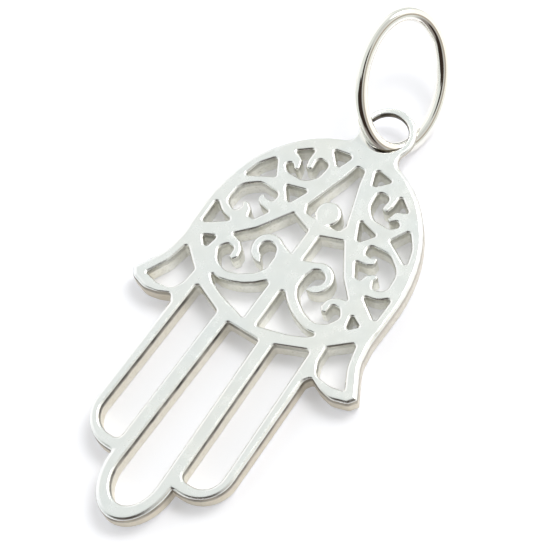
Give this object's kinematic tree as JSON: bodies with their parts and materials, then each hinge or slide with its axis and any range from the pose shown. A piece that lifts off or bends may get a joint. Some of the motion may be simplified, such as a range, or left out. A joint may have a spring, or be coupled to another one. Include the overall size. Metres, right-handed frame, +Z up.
{
  "type": "hamsa pendant with jump ring",
  "caption": "Flat cast silver hamsa hand pendant, pierced with scrollwork and slotted fingers, with an eye at the wrist and an oval jump ring through it.",
  "frame": {"origin": "under the middle of the pendant, on the surface that its back lies on", "axes": "+Y from the fingers to the eye and the jump ring, along the pendant; +Z up out of its face; +X to the right with the face up and the fingers towards the viewer"},
  "size_m": [0.0138, 0.0304, 0.0044],
  "materials": {
    "cast_silver": "silver, satin-polished face with rounded bright edges and rougher cast walls in the cuts",
    "ring_silver": "mirror-polished silver wire"
  },
  "bodies": {
    "root": {"hamsa": "cast_silver", "jump_ring": "ring_silver"}
  },
  "joints": []
}
